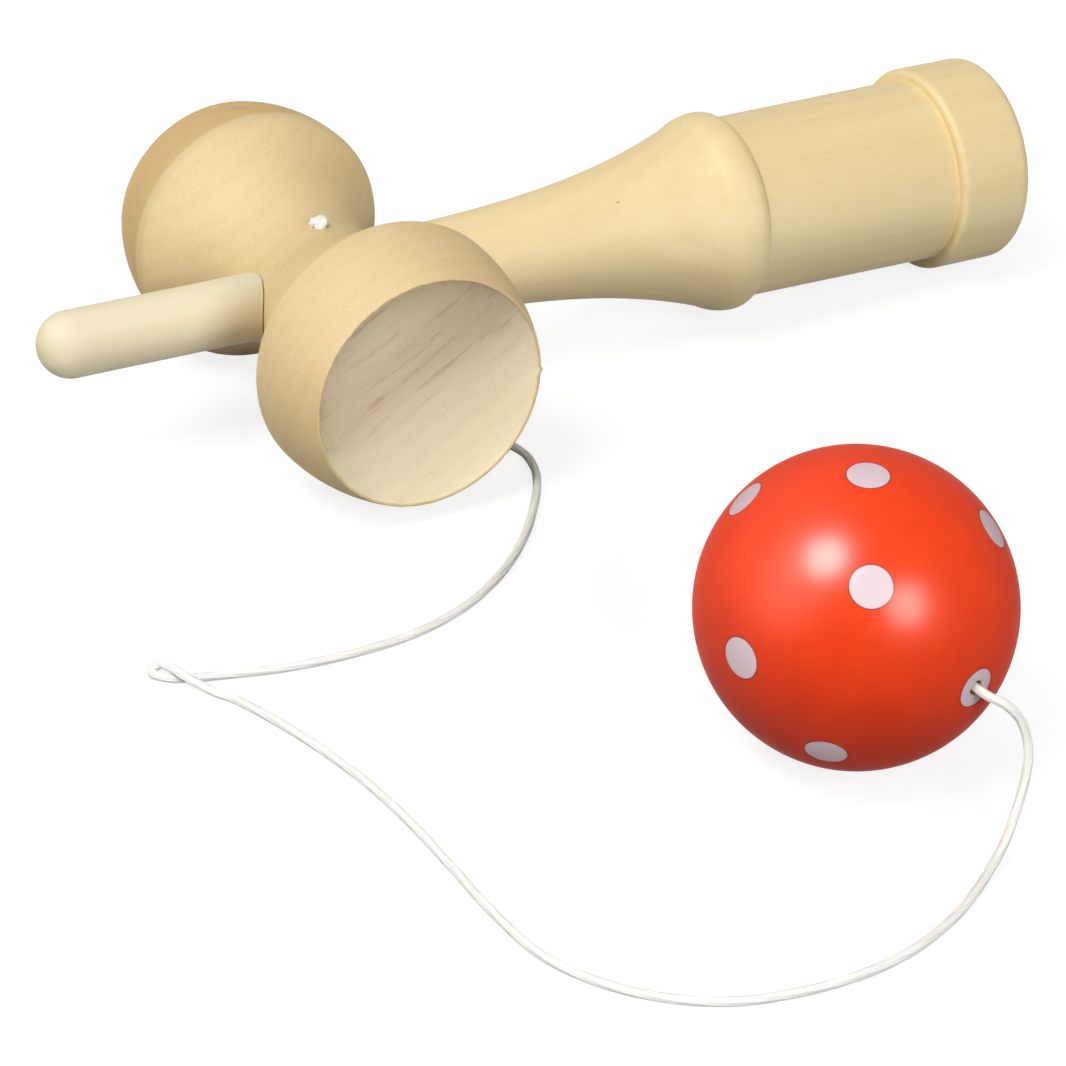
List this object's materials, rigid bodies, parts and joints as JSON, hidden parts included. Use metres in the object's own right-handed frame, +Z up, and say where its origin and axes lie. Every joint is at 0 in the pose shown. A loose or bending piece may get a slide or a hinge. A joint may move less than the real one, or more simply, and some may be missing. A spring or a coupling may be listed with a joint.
{
  "type": "cup and ball toy",
  "caption": "Cup and ball toy: a turned wooden handle with a spike, a crosspiece with a cup in each end, and a lacquered ball with spots on a string.",
  "frame": {"origin": "middle of the footprint of handle, crosspiece, spike and ball, on the table that the toy lies on", "axes": "+Z up from the table, +X along the handle from the spike to the base, +Y from the ball towards the handle"},
  "size_m": [0.2, 0.225, 0.05],
  "materials": {
    "handle_wood": "satin clear lacquer",
    "spike_wood": "satin clear lacquer",
    "crosspiece_wood": "satin clear lacquer",
    "ball_lacquer": "gloss lacquer with pale spots",
    "bead_wood": "plain",
    "string": "cotton braid"
  },
  "bodies": {
    "handle": {"handle": "handle_wood", "spike": "spike_wood", "crosspiece": "crosspiece_wood", "crosspiece_knot": "string", "string": "string"},
    "string_end": {"bead": "bead_wood", "bead_knot": "string", "string_in_ball": "string"},
    "ball": {"ball": "ball_lacquer"}
  },
  "joints": [
    {"name": "ball_lift", "type": "slide", "parent": "handle", "child": "string_end", "axis": [0, 0, 1], "range_m": [0, 0.12]},
    {"name": "ball_spin", "type": "hinge", "parent": "string_end", "child": "ball", "pos_m": [-0.01586, -0.07369, 0.025], "axis": [0.249, -0.9628, -0.1045], "continuous": true}
  ]
}
